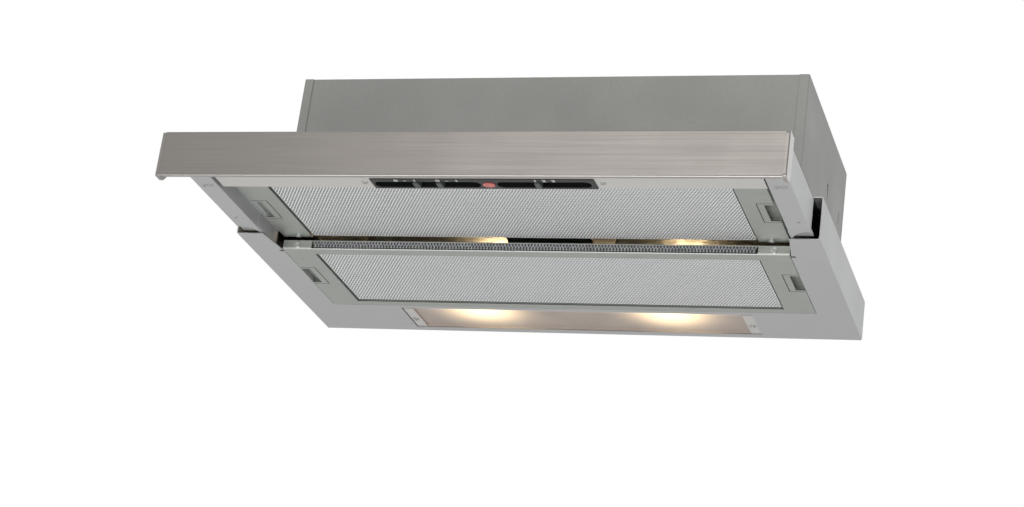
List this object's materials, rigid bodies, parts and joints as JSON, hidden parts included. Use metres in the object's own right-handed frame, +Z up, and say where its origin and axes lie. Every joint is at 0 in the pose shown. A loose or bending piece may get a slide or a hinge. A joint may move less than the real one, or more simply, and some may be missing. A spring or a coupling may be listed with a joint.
{
  "type": "pull-out range hood",
  "caption": "Slim pull-out kitchen hood: steel pan and housing, sliding filter drawer with a brushed front bar, slider controls, rear light, blower and duct collar.",
  "frame": {"origin": "on the wall plane, centred in width, level with the pan's top flange that meets the underside of the cabinet", "axes": "+Z up, +Y into the wall, +X to the right seen from the room; the drawer pulls out along -Y"},
  "size_m": [0.6, 0.454, 0.24],
  "materials": {
    "grey_enamel": "satin",
    "housing_enamel": "satin",
    "zinc_steel": "galvanised",
    "brushed_steel": "brushed",
    "cap_metal": "satin",
    "filter_frame": "satin",
    "filter_mesh": "expanded mesh",
    "black_plastic": "moulded",
    "grey_plastic": "moulded",
    "knob_plastic": "moulded",
    "pilot_red": "clear red",
    "lens_plastic": "frosted",
    "bulb_glass": "clear",
    "white_ceramic": "smooth",
    "motor_iron": "varnished"
  },
  "bodies": {
    "hood_body": {"base_pan": "grey_enamel", "side_panel_left": "housing_enamel", "side_panel_right": "housing_enamel", "front_panel": "housing_enamel", "rear_panel": "zinc_steel", "top_panel": "housing_enamel", "outlet_collar": "grey_plastic", "flap_pin": "zinc_steel", "scroll_half_left": "grey_plastic", "scroll_half_right": "grey_plastic", "motor": "motor_iron", "motor_bracket": "zinc_steel", "capacitor": "grey_plastic", "terminal_box": "white_ceramic", "terminal_box_lid": "white_ceramic", "cable_gland": "black_plastic", "lamp_box": "zinc_steel", "lamp_lens": "lens_plastic", "lamp_holder_left": "white_ceramic", "lamp_holder_right": "white_ceramic", "lamp_bulb_left": "bulb_glass", "lamp_bulb_right": "bulb_glass", "fixed_rail_left": "zinc_steel", "fixed_rail_right": "zinc_steel", "rear_filter_frame": "filter_frame", "rear_filter_mesh": "filter_mesh"},
    "drawer": {"runner_left": "zinc_steel", "runner_right": "zinc_steel", "drawer_arm_left": "grey_enamel", "drawer_arm_right": "grey_enamel", "cross_member": "grey_enamel", "drawer_cover": "grey_enamel", "bar_fascia": "brushed_steel", "bar_stiffener": "zinc_steel", "bar_end_cap_left": "cap_metal", "bar_end_cap_right": "cap_metal", "control_panel": "black_plastic", "switch_housing": "grey_plastic", "pilot_lamp": "pilot_red", "drawer_filter_frame": "filter_frame", "drawer_filter_mesh": "filter_mesh"},
    "fan_rotor": {"fan_impeller": "black_plastic", "motor_shaft": "zinc_steel"},
    "flap_front": {"flap_front": "black_plastic"},
    "flap_rear": {"flap_rear": "black_plastic"},
    "light_slider": {"light_slider": "knob_plastic"},
    "motor_slider": {"motor_slider": "knob_plastic"},
    "speed_slider": {"speed_slider": "knob_plastic"},
    "rear_filter_latch_left": {"rear_filter_latch_left": "grey_plastic"},
    "rear_filter_latch_right": {"rear_filter_latch_right": "grey_plastic"},
    "drawer_filter_latch_left": {"drawer_filter_latch_left": "grey_plastic"},
    "drawer_filter_latch_right": {"drawer_filter_latch_right": "grey_plastic"}
  },
  "joints": [
    {"name": "drawer_slide", "type": "slide", "parent": "hood_body", "child": "drawer", "axis": [0, -1, 0], "range_m": [-0.142, 0]},
    {"name": "fan_spin", "type": "hinge", "parent": "hood_body", "child": "fan_rotor", "pos_m": [0, -0.152, 0.066], "axis": [1, 0, 0], "continuous": true},
    {"name": "flap_front_hinge", "type": "hinge", "parent": "hood_body", "child": "flap_front", "pos_m": [0, -0.11, 0.163], "axis": [-1, 0, 0], "range_deg": [0, 75]},
    {"name": "flap_rear_hinge", "type": "hinge", "parent": "hood_body", "child": "flap_rear", "pos_m": [0, -0.11, 0.163], "axis": [1, 0, 0], "range_deg": [0, 75]},
    {"name": "light_slide", "type": "slide", "parent": "drawer", "child": "light_slider", "axis": [1, 0, 0], "range_m": [-0.017, 0]},
    {"name": "motor_slide", "type": "slide", "parent": "drawer", "child": "motor_slider", "axis": [1, 0, 0], "range_m": [0, 0.017]},
    {"name": "speed_slide", "type": "slide", "parent": "drawer", "child": "speed_slider", "axis": [1, 0, 0], "range_m": [0, 0.017]},
    {"name": "rear_filter_latch_left_slide", "type": "slide", "parent": "hood_body", "child": "rear_filter_latch_left", "axis": [1, 0, 0], "range_m": [0, 0.0045], "stiffness_N_per_m": 400, "springref_m": -0.002},
    {"name": "rear_filter_latch_right_slide", "type": "slide", "parent": "hood_body", "child": "rear_filter_latch_right", "axis": [-1, 0, 0], "range_m": [0, 0.0045], "stiffness_N_per_m": 400, "springref_m": -0.002},
    {"name": "drawer_filter_latch_left_slide", "type": "slide", "parent": "drawer", "child": "drawer_filter_latch_left", "axis": [1, 0, 0], "range_m": [0, 0.0045], "stiffness_N_per_m": 400, "springref_m": -0.002},
    {"name": "drawer_filter_latch_right_slide", "type": "slide", "parent": "drawer", "child": "drawer_filter_latch_right", "axis": [-1, 0, 0], "range_m": [0, 0.0045], "stiffness_N_per_m": 400, "springref_m": -0.002}
  ]
}
